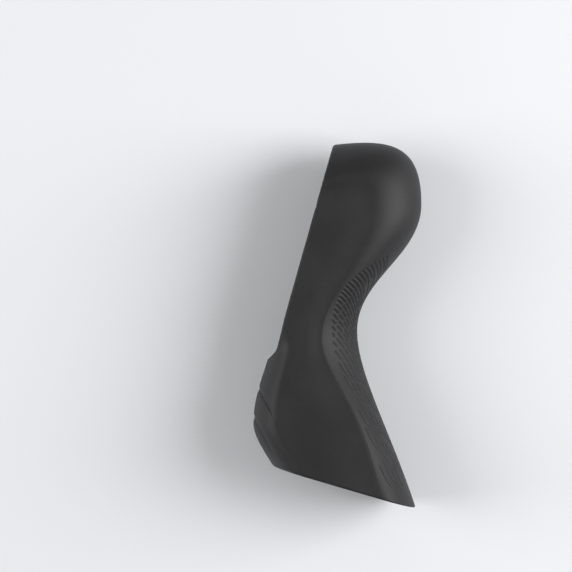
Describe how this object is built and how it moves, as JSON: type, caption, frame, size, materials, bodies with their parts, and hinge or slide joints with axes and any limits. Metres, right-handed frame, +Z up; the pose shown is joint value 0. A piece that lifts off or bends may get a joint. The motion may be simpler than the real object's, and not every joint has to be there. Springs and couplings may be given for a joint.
{
  "type": "brake lever hood",
  "caption": "Black rubber brake lever hood for a drop handlebar, left-hand side: a hollow sleeve with a waist, a horn and a slanted lever opening.",
  "frame": {"origin": "middle of the bounding box at the surface the hood lies on", "axes": "+Y forward along the hood to the horn and lever side, +X to the palm side, +Z up to the outer side; the hood lies on its inner side"},
  "size_m": [0.0548, 0.119, 0.0391],
  "materials": {
    "rubber": "matt moulded black, fine grain, with moulded grip grooves"
  },
  "bodies": {
    "root": {"lever_hood": "rubber"}
  },
  "joints": []
}
